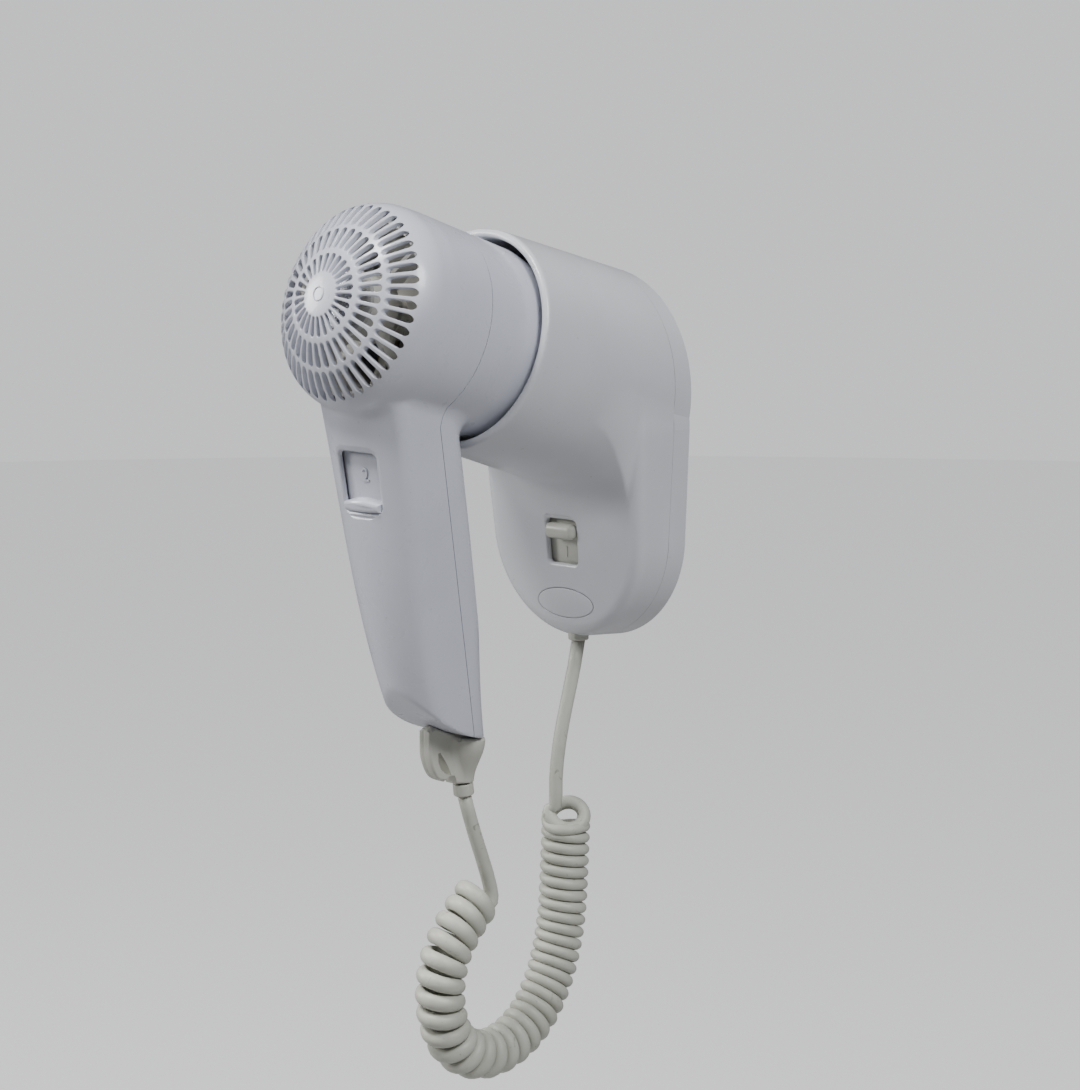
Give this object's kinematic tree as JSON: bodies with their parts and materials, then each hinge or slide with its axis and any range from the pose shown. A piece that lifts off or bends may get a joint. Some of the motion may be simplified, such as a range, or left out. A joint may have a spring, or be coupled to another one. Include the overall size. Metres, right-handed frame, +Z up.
{
  "type": "wall-mounted hair dryer",
  "caption": "Wall holder with a round cup, a lift-out handset with a slotted domed air inlet and a tapered handle, sliding switches and a hanging curly cord.",
  "frame": {"origin": "on the wall, at the centre of the wall plate's four screw holes", "axes": "+X to the right as seen from the room, +Y into the wall, +Z up"},
  "size_m": [0.102, 0.1704, 0.3863],
  "materials": {
    "handset_plastic": "gloss moulded plastic, cool grey",
    "holder_plastic": "gloss moulded plastic, neutral grey",
    "beige_plastic": "satin warm grey plastic",
    "cord_jacket": "satin warm grey cord jacket",
    "white_nylon": "natural nylon",
    "black_phenolic": "black heat-proof moulding",
    "mica": "mica sheet",
    "heater_wire": "bare resistance wire",
    "zinc_steel": "zinc-plated steel",
    "motor_steel": "drawn steel can",
    "copper_lead": "insulated lead"
  },
  "bodies": {
    "holder": {"wall_plate": "holder_plastic", "holder_shell": "holder_plastic", "screw_cover": "holder_plastic", "cover_screw": "zinc_steel", "main_switch": "black_phenolic", "terminal_block": "white_nylon", "holder_cord_clamp": "white_nylon", "holder_clamp_screws": "zinc_steel", "holder_gland": "beige_plastic", "cord_holder_lead": "cord_jacket", "cord_coil": "cord_jacket", "cord_handset_lead": "cord_jacket"},
    "main_switch_slider": {"main_slider": "beige_plastic"},
    "handset": {"inlet_shell": "handset_plastic", "outlet_shell": "handset_plastic", "handset_screws": "zinc_steel", "outlet_grille": "black_phenolic", "mica_sleeve": "mica", "mica_boards": "mica", "heater_coils": "heater_wire", "thermostat": "zinc_steel", "thermal_fuse": "zinc_steel", "rectifier": "black_phenolic", "fan_duct": "white_nylon", "motor": "motor_steel", "speed_switch": "black_phenolic", "suppressor": "white_nylon", "handle_leads": "copper_lead", "handset_cord_clamp": "white_nylon", "cord_bush": "beige_plastic", "bush_collar": "beige_plastic"},
    "speed_switch_slider": {"speed_slider": "handset_plastic"},
    "fan_rotor": {"motor_shaft": "motor_steel", "impeller": "white_nylon"}
  },
  "joints": [
    {"name": "main_switch_slide", "type": "slide", "parent": "holder", "child": "main_switch_slider", "axis": [0, -0.0819, 0.9966], "range_m": [-0.009, 0]},
    {"name": "handset_lift", "type": "slide", "parent": "holder", "child": "handset", "axis": [0, -0.9659, 0.2588], "range_m": [0, 0.06], "deforming": ["cord_handset_lead", "cord_coil", "cord_holder_lead"]},
    {"name": "speed_switch_slide", "type": "slide", "parent": "handset", "child": "speed_switch_slider", "axis": [0, -0.1589, 0.9873], "range_m": [0, 0.014]},
    {"name": "fan_spin", "type": "hinge", "parent": "handset", "child": "fan_rotor", "pos_m": [0, -0.087, 0.045], "axis": [0, -0.9659, 0.2588], "continuous": true}
  ]
}
